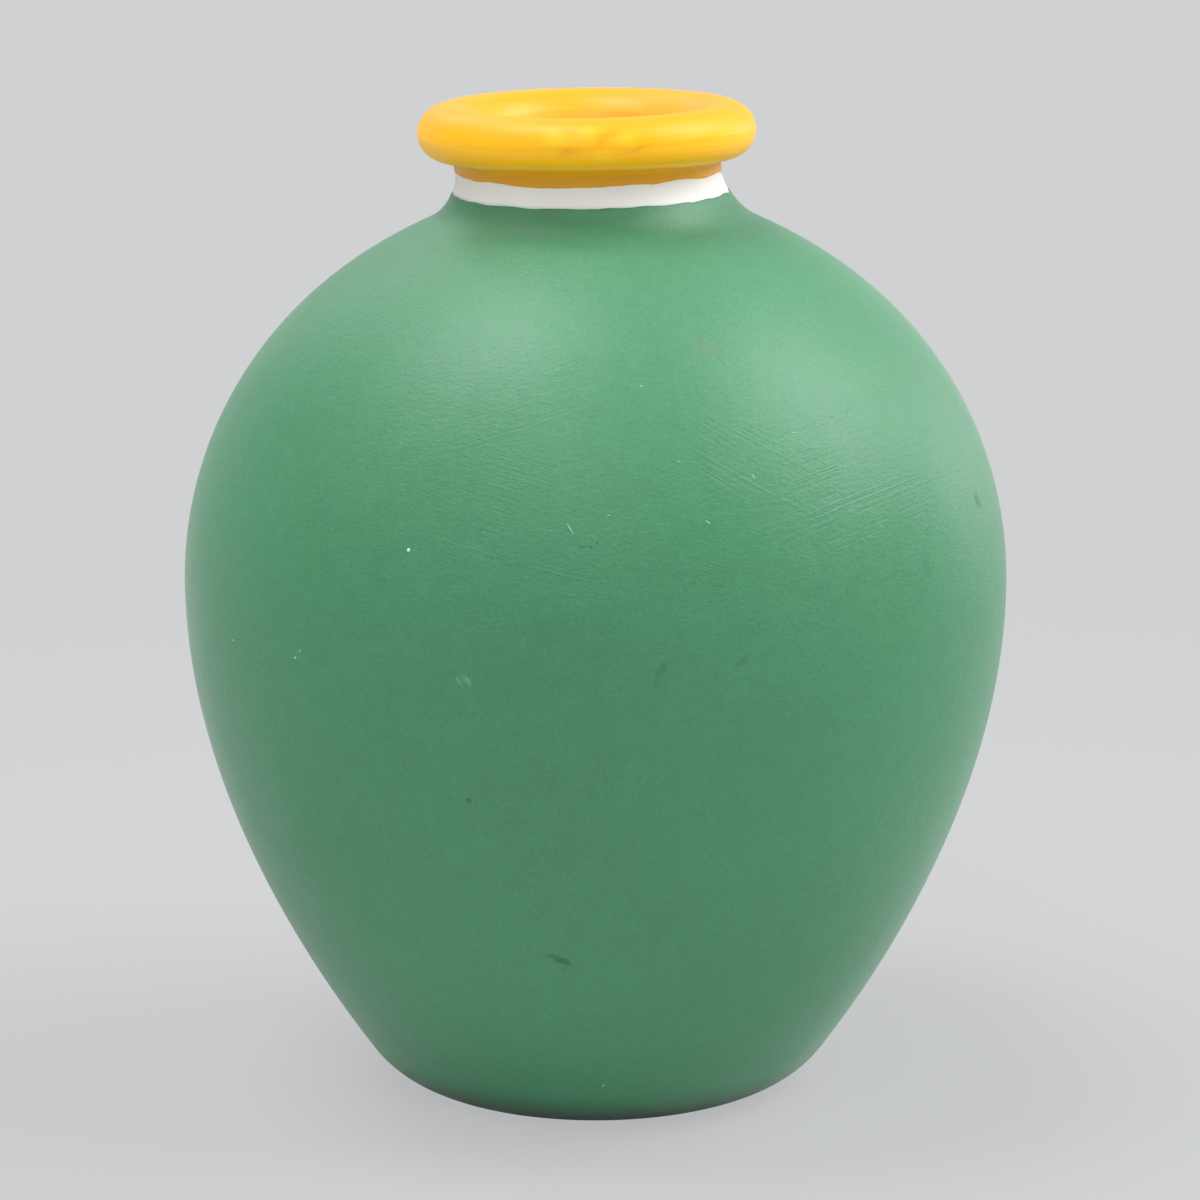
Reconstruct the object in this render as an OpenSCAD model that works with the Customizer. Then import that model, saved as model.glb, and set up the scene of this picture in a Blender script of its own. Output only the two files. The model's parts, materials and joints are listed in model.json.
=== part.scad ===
// A hand-made terracotta water jar: a round pot on a small flat foot, with a narrow neck and a fat
// rolled rim. The clay is built up in five sections that are luted together with a ridge and a
// groove. A white undercoat wraps the clay, and green and yellow paint lie on it.
//
// Every piece is turned about Z. One outline, from the foot over the belly and the rim down into
// the mouth, drives them all: each surface is that outline moved in by the coats and the wall that
// lie outside it, so neighbours share the same points.

/* [Body] */
// Height from the ground to the crest of the rim
jar_h = 200; // [190:1:230]
// Diameter of the belly, over the paint
belly_d = 165.4; // [150:1:185]
// Height of the widest place of the belly
belly_z = 104.5; // [95:0.5:112]
// Pull of the lower curve where it leaves the heel
low_pull = 28; // [15:1:35]
// Pull of the lower curve where it comes up to the belly
low_belly_pull = 39; // [30:1:50]
// Pull of the upper curve where it leaves the belly
high_belly_pull = 23; // [15:1:35]
// Pull of the upper curve where it comes to the neck
high_pull = 42; // [30:1:48]
// Slope of the shoulder where the neck begins, in degrees
shoulder_slope = 24.5; // [18:0.5:32]
// Thickness of the clay wall
wall = 6; // [4:0.25:9]
// Height of the throwing rings on the inner wall
ring_h = 0.6; // [0.2:0.1:1]
// Distance from one throwing ring to the next
ring_pitch = 9; // [6:0.5:14]

/* [Foot] */
// Outer diameter of the flat ring that stands on the ground
foot_d = 62; // [50:1:70]
// Radius of the rounded heel between the foot and the wall
heel_r = 20; // [14:0.5:24]
// Steepness of the wall at the top of the heel, in degrees
heel_slope = 55; // [50:1:62]
// Thickness of the base disc
base_t = 8; // [5:0.5:11]
// Width of the flat ring that stands on the ground
foot_ring = 9; // [4:0.5:14]
// Depth of the hollow under the base
foot_hollow = 1; // [0.4:0.1:2]
// Radius across which the inner wall rounds into the floor
floor_round = 6; // [3:0.5:10]

/* [Neck and rim] */
// Diameter of the neck at its narrowest, over the undercoat and paint
neck_d = 53; // [49:0.5:58]
// Radius of the sweep from the shoulder up into the neck
sweep_r = 12; // [9:0.5:15]
// Height of the straight neck between the sweep and the roll
neck_straight = 0.5; // [0.3:0.1:3]
// Radius of the small hollow where the neck meets the roll
under_r = 1; // [0.5:0.1:1.5]
// Diameter of the rolled rim
rim_d = 67; // [64:0.5:76]
// Diameter of the crest, the rim's highest ring
crest_d = 55.4; // [50:0.2:60]
// Height of the roll below its widest ring
roll_low = 5.6; // [4.5:0.1:8]
// Height of the roll above its widest ring
roll_top = 5.4; // [4:0.1:7]
// Clear diameter of the mouth
mouth_d = 40; // [36:0.5:42]
// Depth below the crest at which the mouth's straight wall begins
mouth_lip = 7; // [4:0.25:9]
// Height over which the throat rounds into the shoulder, measured up from their corner
throat_round = 2; // [1:0.25:4]

/* [Joints between the clay sections] */
// Height of the ridge on each luted joint
key_h = 2; // [0.5:0.25:2.5]

/* [Paint] */
// Thickness of the white undercoat
primer_t = 0.2; // [0.1:0.05:0.4]
// Thickness of the green and yellow paint
paint_t = 0.25; // [0.1:0.05:0.4]
// Height above the ground at which the coats begin
bare_foot = 0.6; // [0.3:0.1:2]
// Depth of the white band's lower edge below the top of the sweep
band_low = 5; // [3:0.25:7]
// Depth of the white band's upper edge below the top of the sweep
band_high = 1; // [0.25:0.25:2]

/* [Hidden] */

// Sides of a full turn, and steps along each curve of the outline
$fn = 120;
arc_steps = 8;
curve_steps = 20;
steps_per_ring = 6;

clay_color = [0.72, 0.40, 0.27];
white_color = [0.85, 0.85, 0.82];
green_color = [0.36, 0.62, 0.46];
yellow_color = [0.95, 0.72, 0.16];

coats_t = primer_t + paint_t;
belly_r = belly_d / 2;
foot_r = foot_d / 2;
neck_r = neck_d / 2;
rim_r = rim_d / 2;
crest_r = crest_d / 2;
mouth_r = mouth_d / 2;

rim_z = jar_h - roll_top;
roll_z = rim_z - roll_low;
seam_z = roll_z - under_r;
neck_z = seam_z - neck_straight;
lip_z = jar_h - mouth_lip;

// A station is [radius, height, heading]: a point of the outline and the direction in which the
// outline runs there, in degrees from the horizontal. The outside of the jar is on its right.

// The station moved outwards by d, as a point
function out(s, d) = [s[0] + d * sin(s[2]), s[1] - d * cos(s[2])];

// All of a list of stations moved outwards by d
function shifted(stations, d) = [for (s = stations) out(s, d)];

// The list the other way round
function back(list) = [for (i = [len(list) - 1 : -1 : 0]) list[i]];

// The list without its first item, for a stretch that begins where the last one ended
function tail(list) = [for (i = [1 : len(list) - 1]) list[i]];

// Stations along a quarter of an ellipse or a part of it: centre c, half axes a and b, with the
// angle on the ellipse running from t0 to t1
function ellipse_arc(c, a, b, t0, t1, steps) = [
    for (i = [0 : steps])
        let (t = t0 + (t1 - t0) * i / steps, turn = sign(t1 - t0))
        [c[0] + a * cos(t), c[1] + b * sin(t), atan2(turn * b * cos(t), -turn * a * sin(t))]
];

// Stations along a cubic curve from p, heading h0 with pull k0, to q, heading h1 with pull k1
function curve(p, h0, k0, q, h1, k1, steps) =
    let (a = p + k0 * [cos(h0), sin(h0)], b = q - k1 * [cos(h1), sin(h1)])
    [
        for (i = [0 : steps])
            let (
                t = i / steps,
                u = 1 - t,
                at = u * u * u * p + 3 * u * u * t * a + 3 * u * t * t * b + t * t * t * q,
                way = u * u * (a - p) + 2 * u * t * (b - a) + t * t * (q - b)
            )
            [at[0], at[1], atan2(way[1], way[0])]
    ];

// Points along a corner of a, b, c rounded by a parabola that leaves at a and arrives at c
function rounded_corner(a, b, c, steps) = [
    for (i = [0 : steps])
        let (t = i / steps)
        (1 - t) * (1 - t) * a + 2 * t * (1 - t) * b + t * t * c
];

// The outline's stretches, from the ground up
heel_centre = [foot_r, heel_r];
bare_angle = acos(1 - bare_foot / heel_r);
heel_angle_0 = -90 + bare_angle;
heel_angle_1 = -90 + heel_slope;
heel = ellipse_arc(heel_centre, heel_r, heel_r, heel_angle_0, heel_angle_1, arc_steps);
heel_top = [heel[arc_steps][0], heel[arc_steps][1]];
belly = [belly_r, belly_z];

// The sweep turns the other way, about a centre outside the neck. The edges of the white band
// divide it in three.
function sweep_arc(t0, t1) =
    ellipse_arc([neck_r + sweep_r, neck_z], sweep_r, sweep_r, t0, t1, arc_steps);
function sweep_angle(depth) = 180 + asin(depth / sweep_r);

green_sweep = sweep_arc(270 - shoulder_slope, sweep_angle(band_low));
white_sweep = sweep_arc(sweep_angle(band_low), sweep_angle(band_high));
yellow_sweep = sweep_arc(sweep_angle(band_high), 180);
sweep_foot = [green_sweep[0][0], green_sweep[0][1]];

function lower_curve(steps) =
    curve(heel_top, heel_slope, low_pull, belly, 90, low_belly_pull, steps);
function upper_curve(steps) =
    curve(belly, 90, high_belly_pull, sweep_foot, 180 - shoulder_slope, high_pull, steps);

under_centre = [neck_r + under_r, seam_z];
under = ellipse_arc(under_centre, under_r, under_r, 180, 90, arc_steps / 2);
roll_bottom_r = neck_r + under_r;
roll_lower = ellipse_arc([roll_bottom_r, rim_z], rim_r - roll_bottom_r, roll_low, -90, 0, arc_steps);
roll_outer = ellipse_arc([crest_r, rim_z], rim_r - crest_r, roll_top, 0, 90, arc_steps);
roll_inner = ellipse_arc([crest_r, lip_z], crest_r - mouth_r, mouth_lip, 90, 180, arc_steps);
bore_end = [[mouth_r, seam_z, -90]];

// Stations of the roll, of each coat's outside, and of all the painted outline
roll = concat(under, tail(roll_lower), tail(roll_outer), tail(roll_inner), bore_end);
green_outline = concat(heel, tail(lower_curve(curve_steps)), tail(upper_curve(curve_steps)),
    tail(green_sweep));
yellow_outline = concat(yellow_sweep, roll);
painted_outline = concat(green_outline, tail(white_sweep), tail(yellow_outline));

// How far the inner wall lies inside the outline at height z: the grooves between the throwing
// rings are cut into the wall
function inner_depth(z) = coats_t + wall - ring_h * (1 + cos(360 * z / ring_pitch)) / 2;

// The inner wall beside a list of stations
function inner(stations) = [for (s = stations) out(s, -inner_depth(s[1]))];

function ring_steps(z0, z1) = ceil(steps_per_ring * (z1 - z0) / ring_pitch);
low_inner_all = inner(lower_curve(ring_steps(heel_top[1], belly_z)));
high_inner = inner(upper_curve(ring_steps(belly_z, sweep_foot[1])));
belly_in = high_inner[0];

// The floor's corner: the inner wall starts above the floor, and a rounded corner joins them
low_inner = [for (p = low_inner_all) if (p[1] > base_t + floor_round / 3) p];
corner_rise = low_inner[0][1] - base_t;
corner = [low_inner[0][0] - corner_rise / tan(heel_slope), base_t];
floor_edge = [corner[0] - floor_round / 2, base_t];
floor_corner = rounded_corner(floor_edge, corner, low_inner[0], arc_steps);

// The throat: the mouth's straight wall rounds into the inner shoulder
shoulder_in = high_inner[len(high_inner) - 1];
throat_corner = [mouth_r, shoulder_in[1] + (shoulder_in[0] - mouth_r) * tan(shoulder_slope)];
throat_z = throat_corner[1] + throat_round;
throat = rounded_corner(shoulder_in, throat_corner, [mouth_r, throat_z], arc_steps);

// The luted joints. Each is the list of points of its face, from the outside in, with a ridge of
// the height key_h in the middle that stands along the given heading.
function joint(outer_p, inner_p, heading) =
    [outer_p, (outer_p + inner_p) / 2 + key_h * [cos(heading), sin(heading)], inner_p];

base_joint = joint(out(heel[arc_steps], -coats_t), floor_edge, -90);
belly_joint = joint([belly_r - coats_t, belly_z], belly_in, 90);
shoulder_joint = joint(out(green_sweep[0], -coats_t), shoulder_in, 180 - shoulder_slope);
rim_joint = joint([neck_r - coats_t, seam_z], [mouth_r + coats_t, seam_z], 90);

// The hollow under the base, from the middle out to the ring that stands on the ground
hollow_r = foot_r - foot_ring;
hollow = [
    for (i = [0 : arc_steps])
        let (r = hollow_r * i / arc_steps)
        [r, foot_hollow * (1 - pow(r / hollow_r, 2))]
];

// A closed skin under a list of stations, between two depths below the outline
module skin(stations, top_depth, under_depth) {
    rotate_extrude()
        polygon(concat(shifted(stations, -top_depth), back(shifted(stations, -under_depth))));
}

// The disc that the jar stands on, with the groove for the wall in its bevelled edge
module base_slab() {
    color(clay_color)
        rotate_extrude()
            polygon(concat(hollow, [[foot_r, 0]], shifted(heel, -coats_t), tail(base_joint),
                [[0, base_t]]));
}

// The bowl-shaped lower half, with a ridge round its top edge
module lower_wall() {
    color(clay_color)
        rotate_extrude()
            polygon(concat(shifted(lower_curve(curve_steps), -coats_t), tail(belly_joint),
                tail(back(low_inner)), tail(back(floor_corner)), [base_joint[1]]));
}

// The domed upper half, which sits over the ridge of the lower one
module upper_wall() {
    color(clay_color)
        rotate_extrude()
            polygon(concat(shifted(upper_curve(curve_steps), -coats_t), tail(shoulder_joint),
                tail(back(high_inner)), [belly_joint[1]]));
}

// The collar that sweeps up from the shoulder into the neck, with the mouth's straight bore
module neck_collar() {
    color(clay_color)
        rotate_extrude()
            polygon(concat(
                shifted(concat(green_sweep, tail(white_sweep), tail(yellow_sweep)), -coats_t),
                rim_joint, [[mouth_r, seam_z]], back(throat), [shoulder_joint[1]]));
}

// The coil of clay that makes the roll
module rim_coil() {
    color(clay_color)
        rotate_extrude()
            polygon(concat(shifted(roll, -coats_t), [rim_joint[1]]));
}

// The white undercoat, from the foot over the rim into the mouth
module primer_coat() {
    color(white_color)
        skin(painted_outline, paint_t, coats_t);
}

// The green paint, from the foot to the white band
module green_coat() {
    color(green_color)
        skin(green_outline, 0, paint_t);
}

// The yellow paint, over the roll and into the mouth
module yellow_coat() {
    color(yellow_color)
        skin(yellow_outline, 0, paint_t);
}

echo(mouth_r=mouth_r, throat_z=throat_z, seam_z=seam_z, shoulder_in=shoulder_in);
echo(foot_ring_middle=foot_r - foot_ring / 2, floor_edge=floor_edge, belly_in=belly_in);

base_slab();
lower_wall();
upper_wall();
neck_collar();
rim_coil();
primer_coat();
green_coat();
yellow_coat();
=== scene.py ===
# %% [markdown]
# # A painted terracotta water jar
#
# The jar is a round pot of fired earthenware, thrown on a wheel and painted by hand: green all over, white
# on the neck and yellow on the fat rolled rim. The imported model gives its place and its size. This lesson
# builds the same pieces again with many more points, so that curves look round, edges of paint waver and
# the clay shows the potter's fingers. It starts by loading the model and keeping its box to compare with.

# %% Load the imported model
import json
import math

import bpy
import numpy as np
from mathutils import Matrix, Quaternion, Vector
from mathutils.bvhtree import BVHTree

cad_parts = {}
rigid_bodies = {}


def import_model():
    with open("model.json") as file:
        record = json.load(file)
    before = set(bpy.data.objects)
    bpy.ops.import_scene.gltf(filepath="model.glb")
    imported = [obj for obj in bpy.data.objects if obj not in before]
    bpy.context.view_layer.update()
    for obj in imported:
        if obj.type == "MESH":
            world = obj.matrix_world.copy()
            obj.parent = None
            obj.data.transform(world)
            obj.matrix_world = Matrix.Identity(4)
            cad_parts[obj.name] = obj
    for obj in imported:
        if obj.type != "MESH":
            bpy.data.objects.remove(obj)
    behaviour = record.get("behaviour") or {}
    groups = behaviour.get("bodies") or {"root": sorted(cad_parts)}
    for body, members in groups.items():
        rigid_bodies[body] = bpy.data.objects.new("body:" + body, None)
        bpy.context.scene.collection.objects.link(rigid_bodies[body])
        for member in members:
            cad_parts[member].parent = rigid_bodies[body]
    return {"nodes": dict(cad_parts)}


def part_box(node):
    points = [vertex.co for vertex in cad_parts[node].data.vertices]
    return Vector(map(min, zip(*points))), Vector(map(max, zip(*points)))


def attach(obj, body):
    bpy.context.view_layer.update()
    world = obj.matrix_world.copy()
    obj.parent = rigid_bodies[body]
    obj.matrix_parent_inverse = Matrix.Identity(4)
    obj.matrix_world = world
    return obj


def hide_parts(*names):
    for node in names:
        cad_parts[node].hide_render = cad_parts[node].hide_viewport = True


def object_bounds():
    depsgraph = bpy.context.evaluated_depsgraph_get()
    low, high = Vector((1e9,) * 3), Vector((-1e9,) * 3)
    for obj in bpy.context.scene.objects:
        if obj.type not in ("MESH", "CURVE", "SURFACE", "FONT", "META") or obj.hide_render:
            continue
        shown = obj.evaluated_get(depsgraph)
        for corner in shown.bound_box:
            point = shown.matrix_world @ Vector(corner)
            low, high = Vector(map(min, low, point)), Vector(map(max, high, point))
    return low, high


for start_up_object in list(bpy.data.objects):
    bpy.data.objects.remove(start_up_object)
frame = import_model()
cad_low, cad_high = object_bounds()
print("nodes:", sorted(frame["nodes"]))
print("box of the packed model, in mm:", [round(1000 * x, 2) for x in (*cad_low, *cad_high)])

# %% [markdown]
# ## One outline for all the pieces
#
# A potter's profile is a line in the plane of radius and height. Everything here is turned about the axis,
# so one such line, from the foot over the belly and the rim and down into the mouth, gives every surface.
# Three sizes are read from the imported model. The others are written in metres, and each is a real size.

# %% The jar's sizes
jar_h = cad_high.z
belly_r = (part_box("green_coat")[1].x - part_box("green_coat")[0].x) / 2
rim_r = (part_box("yellow_coat")[1].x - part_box("yellow_coat")[0].x) / 2

foot_r = 0.031
foot_ring = 0.009
foot_hollow = 0.001
heel_r = 0.020
heel_slope = 55
bare_foot = 0.0006
base_t = 0.008
floor_round = 0.006

belly_z = 0.1045
low_pull = 0.028
low_belly_pull = 0.039
high_belly_pull = 0.023
high_pull = 0.042
shoulder_slope = 24.5
wall = 0.006
ring_h = 0.0006
ring_pitch = 0.009
key_h = 0.002

neck_r = 0.0265
sweep_r = 0.012
neck_straight = 0.0
under_r = 0.001
crest_r = 0.0277
roll_low = 0.0061
roll_top = 0.0054
mouth_r = 0.020
mouth_lip = 0.007
throat_round = 0.002

primer_t = 0.0002
paint_t = 0.00025
coats_t = primer_t + paint_t
band_low = 0.005
band_high = 0.001

rim_z = jar_h - roll_top
seam_z = rim_z - roll_low - under_r
neck_z = seam_z - neck_straight
lip_z = jar_h - mouth_lip
print(f"height {jar_h:.4f}, belly radius {belly_r:.4f}, rim radius {rim_r:.4f}, seam at {seam_z:.4f}")

# %% [markdown]
# A station is a point of the outline with the heading in which the line runs there. With the heading known,
# a wall or a coat of paint is the same line moved square to itself, so its thickness is true everywhere.
# Round stretches are arcs of an ellipse, and the two long sides of the belly are cubic curves whose pulls
# say how long each end keeps its heading.

# %% Stations along arcs and curves
def arc(centre, a, b, start, end, steps=48):
    """Stations along an ellipse with half axes a and b, from one angle to another, in degrees."""
    t = np.radians(np.linspace(start, end, steps + 1))
    turn = np.sign(end - start)
    heading = np.arctan2(turn * b * np.cos(t), -turn * a * np.sin(t))
    return np.stack([centre[0] + a * np.cos(t), centre[1] + b * np.sin(t), heading], 1)


def curve(p, heading_p, pull_p, q, heading_q, pull_q, steps=160):
    """Stations along a cubic curve from p to q, with the headings in degrees."""
    p, q = np.array(p), np.array(q)
    a = p + pull_p * np.array([math.cos(math.radians(heading_p)), math.sin(math.radians(heading_p))])
    b = q - pull_q * np.array([math.cos(math.radians(heading_q)), math.sin(math.radians(heading_q))])
    t = np.linspace(0, 1, steps + 1)[:, None]
    u = 1 - t
    at = u**3 * p + 3 * u * u * t * a + 3 * u * t * t * b + t**3 * q
    way = u * u * (a - p) + 2 * u * t * (b - a) + t * t * (q - b)
    return np.column_stack([at, np.arctan2(way[:, 1], way[:, 0])])


def sweep(start, end):
    """The hollow sweep from the shoulder up into the neck."""
    return arc((neck_r + sweep_r, neck_z), sweep_r, sweep_r, start, end)


def sweep_angle(depth):
    """The angle on the sweep at a depth below its top."""
    return 180 + math.degrees(math.asin(depth / sweep_r))


# %% The whole outline, stretch by stretch
bare_angle = math.degrees(math.acos(1 - bare_foot / heel_r))
heel = arc((foot_r, heel_r), heel_r, heel_r, -90 + bare_angle, -90 + heel_slope)
green_sweep = sweep(270 - shoulder_slope, sweep_angle(band_low))
belly = (belly_r, belly_z)
roll_bottom_r = neck_r + under_r
stretches = {
    "heel": heel,
    "lower": curve(heel[-1, :2], heel_slope, low_pull, belly, 90, low_belly_pull),
    "upper": curve(belly, 90, high_belly_pull, green_sweep[0, :2], 180 - shoulder_slope, high_pull),
    "green_sweep": green_sweep,
    "white_sweep": sweep(sweep_angle(band_low), sweep_angle(band_high)),
    "yellow_sweep": sweep(sweep_angle(band_high), 180),
    "neck": np.array([[neck_r, neck_z, math.pi / 2], [neck_r, seam_z, math.pi / 2]]),
    "under": arc((neck_r + under_r, seam_z), under_r, under_r, 180, 90),
    "roll_low": arc((roll_bottom_r, rim_z), rim_r - roll_bottom_r, roll_low, -90, 0),
    "roll_out": arc((crest_r, rim_z), rim_r - crest_r, roll_top, 0, 90),
    "roll_in": arc((crest_r, lip_z), crest_r - mouth_r, mouth_lip, 90, 180),
    "bore": np.array([[mouth_r, lip_z, -math.pi / 2], [mouth_r, seam_z, -math.pi / 2]]),
}
outline = np.concatenate(list(stretches.values()))
outline[:, 2] = np.unwrap(outline[:, 2])
run = np.concatenate([[0], np.cumsum(np.hypot(*np.diff(outline[:, :2], axis=0).T))])
last = np.cumsum([len(s) for s in stretches.values()]) - 1
end_of = dict(zip(stretches, run[last]))
print("length of the outline, in mm:", round(1000 * run[-1], 1))

# %% [markdown]
# Pieces that lie on each other take their points at the same places of the outline, so that no surface
# pokes through its neighbour. The places are 2 mm apart on the belly, closer on the neck and the rim, and
# closest beside the edges of the paint, where the brush left a round lip.

# %% Places along the outline
EDGE_STEPS = np.array([0.00004, 0.00012, 0.00025, 0.00045])


def spaced(start, end, pitch):
    return np.linspace(start, end, max(2, math.ceil((end - start) / pitch) + 1))


def beside(edge):
    return np.concatenate([edge - EDGE_STEPS, [edge], edge + EDGE_STEPS])


paint_edges = [0, end_of["green_sweep"], end_of["white_sweep"], end_of["bore"]]
places = np.concatenate([
    spaced(0, end_of["heel"], 0.0012),
    spaced(end_of["heel"], end_of["lower"], 0.0020),
    spaced(end_of["lower"], end_of["upper"], 0.0020),
    spaced(end_of["upper"], end_of["neck"], 0.0007),
    spaced(end_of["neck"], end_of["under"], 0.0003),
    spaced(end_of["under"], end_of["bore"], 0.0008),
    *[beside(edge) for edge in paint_edges],
])
places = np.unique(np.round(places[(places >= 0) & (places <= run[-1])], 9))
print("places along the outline:", len(places))


def stations(start, end):
    """The stations at the shared places from one run of the outline to another, ends included."""
    inside = places[(places > start + 1e-6) & (places < end - 1e-6)]
    at = np.concatenate([[start], inside, [end]])
    return at, np.column_stack([np.interp(at, run, outline[:, i]) for i in range(3)])


def outwards(at, distance):
    """Stations moved square to the outline, as points. A negative distance goes into the jar."""
    return at[:, :2] + np.asarray(distance).reshape(-1, 1) * np.column_stack([np.sin(at[:, 2]), -np.cos(at[:, 2])])


# %% [markdown]
# ## Profiles
#
# Each piece gets a closed profile. Besides its place, a point of a profile carries what the wheel needs to
# know: how far the wavering edge of a coat drags it along the surface, which edge that is, and how deep the
# potter's fingers press there. Blender keeps such facts as attributes of the mesh.

# %% A point of a profile and the facts that it carries
POINT = np.dtype([
    ("place", float, 2),
    ("slide", float, 2),
    ("ring", float, 2),
    ("edge", float),
    ("phase", float),
    ("along", float),
])


def points(at, **facts):
    rows = np.zeros(len(at), POINT)
    rows["place"] = at
    for name, value in facts.items():
        rows[name] = value
    return rows


def smooth(x):
    """A soft step from 0 to 1."""
    x = np.clip(x, 0, 1)
    return x * x * (3 - 2 * x)


# %% [markdown]
# A coat of paint is a skin. Its outside follows the outline, thins towards both edges and ends in a blunt
# lip. The edge wavers because a hand held the brush, so points near an edge are marked to slide along the
# surface, most at the edge itself and not at all a few millimetres away.

# %% Profiles of the coats
LIP_W = 0.0005
LIP_LEAST = 0.35
EDGE_REACH = 0.005


def skin_profile(start, end, top_depth, under_depth, start_edge, end_edge):
    at, rows = stations(start, end)
    from_start, from_end = at - start, end - at
    near = np.minimum(from_start, from_end)
    rounding = np.sqrt(1 - (1 - np.clip(near / LIP_W, 0, 1)) ** 2)
    thickness = (under_depth - top_depth) * (LIP_LEAST + (1 - LIP_LEAST) * rounding)
    tangent = np.column_stack([np.cos(rows[:, 2]), np.sin(rows[:, 2])])
    facts = {
        "slide": tangent * smooth(1 - near / EDGE_REACH)[:, None],
        "edge": np.where(from_start < from_end, start_edge, end_edge),
        "along": at,
    }
    outer = points(outwards(rows, thickness - under_depth), **facts)
    under = points(outwards(rows, -under_depth), **facts)
    return np.concatenate([outer, under[::-1], outer[:1]])


FOOT_EDGE, GREEN_EDGE, YELLOW_EDGE, MOUTH_EDGE = 1, 2, 3, 4
green_profile = skin_profile(0, end_of["green_sweep"], 0, paint_t, FOOT_EDGE, GREEN_EDGE)
yellow_profile = skin_profile(end_of["white_sweep"], run[-1], 0, paint_t, YELLOW_EDGE, MOUTH_EDGE)
primer_profile = skin_profile(0, run[-1], paint_t, coats_t, FOOT_EDGE, MOUTH_EDGE)
print("points of the coats' profiles:", len(green_profile), len(yellow_profile), len(primer_profile))

# %% [markdown]
# The clay sections are what a potter would lute together: a disc, a bowl, a dome, a collar and a coil. Each
# joint is a ridge in a groove. On the inside, fingers that rise while the wheel turns leave a spiral of
# shallow grooves, so points of the inner wall carry a depth to be pressed in and a phase that grows with
# their height.

# %% The inner wall, the floor's corner and the throat
INNER_PITCH = 0.0011
FADE = 0.006


def inner_wall(start, end):
    """The inner wall beside a stretch of the outline, from below upwards."""
    at = spaced(start, end, INNER_PITCH)
    rows = np.column_stack([np.interp(at, run, outline[:, i]) for i in range(3)])
    outward = np.column_stack([np.sin(rows[:, 2]), -np.cos(rows[:, 2])])
    return points(outwards(rows, -(coats_t + wall)), ring=ring_h * outward, phase=rows[:, 1] / ring_pitch, along=at)


def rounded_corner(a, b, c, steps=12):
    """Points of a parabola that leaves a towards b and arrives at c."""
    t = np.linspace(0, 1, steps + 1)[:, None]
    return (1 - t) ** 2 * np.array(a) + 2 * t * (1 - t) * np.array(b) + t * t * np.array(c)


def joint(outer, inner, heading):
    """The ridge in the middle of a luted joint."""
    ridge = key_h * np.array([math.cos(math.radians(heading)), math.sin(math.radians(heading))])
    return points([(np.array(outer) + np.array(inner)) / 2 + ridge])


low_inner = inner_wall(end_of["heel"], end_of["lower"])
low_inner = low_inner[low_inner["place"][:, 1] > base_t + floor_round / 3]
low_inner["ring"] *= smooth((low_inner["along"] - low_inner["along"][0]) / FADE)[:, None]
high_inner = inner_wall(end_of["lower"], end_of["upper"])

rise = low_inner["place"][0, 1] - base_t
floor_corner = (low_inner["place"][0, 0] - rise / math.tan(math.radians(heel_slope)), base_t)
floor_edge = (floor_corner[0] - floor_round / 2, base_t)
floor_curve = points(rounded_corner(floor_edge, floor_corner, low_inner["place"][0]))

shoulder_in = high_inner["place"][-1]
throat_top = shoulder_in[1] + (shoulder_in[0] - mouth_r) * math.tan(math.radians(shoulder_slope))
throat_z = throat_top + throat_round
throat = points(rounded_corner(shoulder_in, (mouth_r, throat_top), (mouth_r, throat_z)))
throat["ring"] = high_inner["ring"][-1] * np.linspace(1, 0, len(throat))[:, None]
throat["phase"] = high_inner["phase"][-1]
print("throat begins at", round(throat_z, 4), "and the floor's edge is at", round(floor_edge[0], 4))

# %% Profiles of the clay sections
def clay_outside(start, end):
    at, rows = stations(start, end)
    return points(outwards(rows, -coats_t), along=at)


slab_side = clay_outside(0, end_of["heel"])
bowl_side = clay_outside(end_of["heel"], end_of["lower"])
dome_side = clay_outside(end_of["lower"], end_of["upper"])
collar_side = clay_outside(end_of["upper"], end_of["neck"])
coil_side = clay_outside(end_of["neck"], end_of["bore"])

hollow_r = foot_r - foot_ring
under_r_steps = np.linspace(0, hollow_r, 24)
hollow = points(np.column_stack([under_r_steps, foot_hollow * (1 - (under_r_steps / hollow_r) ** 2)]))
FOOT_SOFT = 0.0004
foot_corner = points(rounded_corner((foot_r - FOOT_SOFT, 0), (foot_r, 0), slab_side["place"][0], 6))
floor_r_steps = np.linspace(floor_edge[0], 0, 40)
floor_press = smooth((floor_edge[0] - floor_r_steps) / FADE) * smooth(floor_r_steps / FADE)
floor = points(np.column_stack([floor_r_steps, np.full(40, base_t)]), phase=floor_r_steps / ring_pitch)
floor["ring"][:, 1] = -ring_h * floor_press

base_joint = joint(slab_side["place"][-1], floor_edge, -90)
belly_joint = joint(dome_side["place"][0], high_inner["place"][0], 90)
shoulder_joint = joint(dome_side["place"][-1], shoulder_in, 180 - shoulder_slope)
rim_joint = joint(coil_side["place"][0], coil_side["place"][-1], 90)

clay_profiles = {
    "base_slab": [hollow, foot_corner, slab_side, base_joint, floor],
    "lower_wall": [bowl_side, belly_joint, high_inner[:1], low_inner[::-1][1:], floor_curve[::-1][1:], base_joint,
                   bowl_side[:1]],
    "upper_wall": [dome_side, shoulder_joint, high_inner[::-1], belly_joint, dome_side[:1]],
    "neck_collar": [collar_side, rim_joint, coil_side[-1:], points([(mouth_r, seam_z)]), throat[::-1],
                    shoulder_joint, collar_side[:1]],
    "rim_coil": [coil_side, rim_joint, coil_side[:1]],
}
profiles = {name: np.concatenate(parts) for name, parts in clay_profiles.items()}
profiles.update(primer_coat=primer_profile, green_coat=green_profile, yellow_coat=yellow_profile)
print("points of each profile:", {name: len(rows) for name, rows in profiles.items()})

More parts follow.
